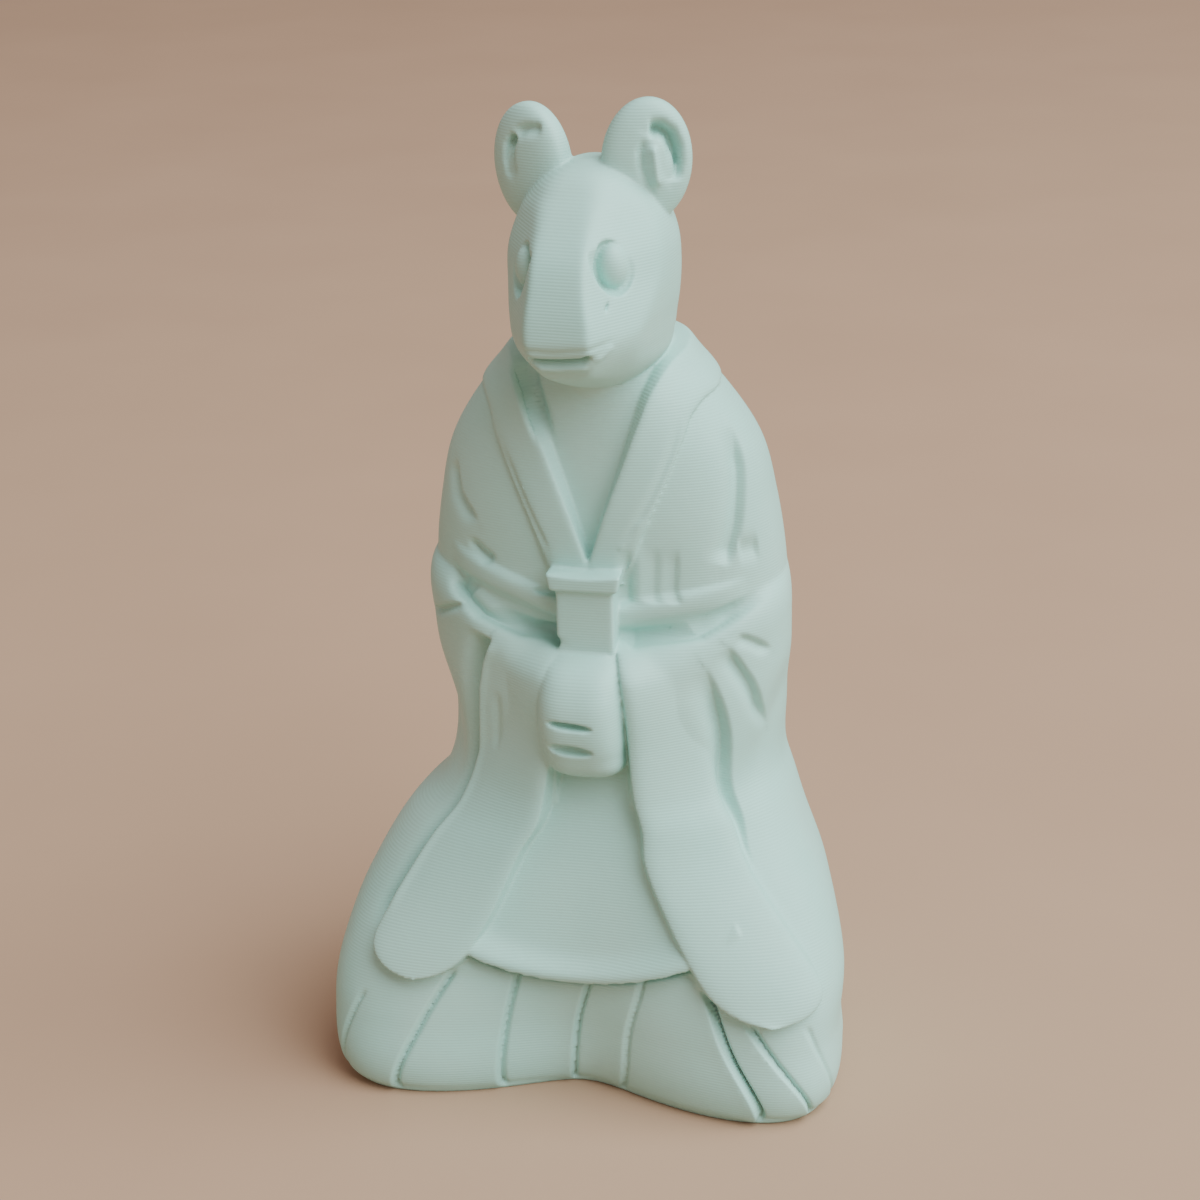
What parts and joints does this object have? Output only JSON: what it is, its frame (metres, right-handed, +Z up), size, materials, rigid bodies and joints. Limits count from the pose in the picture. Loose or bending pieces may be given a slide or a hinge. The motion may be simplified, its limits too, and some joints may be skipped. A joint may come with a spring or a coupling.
{
  "type": "chinese zodiac figure",
  "caption": "Kneeling robed rat courtier with joined hands holding an upright tablet, printed in one piece to stand on a shelf.",
  "frame": {"origin": "centre of the figure's bounding box at its flat underside", "axes": "+Z up to the tips of the ears, the figure faces -Y, +X to the figure's own left"},
  "size_m": [0.0376, 0.0294, 0.0707],
  "materials": {
    "pla_print": "pale mint grey-green printed PLA plastic with a soft satin sheen, fine level layer lines, and a few stray threads and blobs left by the printer"
  },
  "bodies": {
    "root": {"zodiac_rat_figure": "pla_print"}
  },
  "joints": []
}
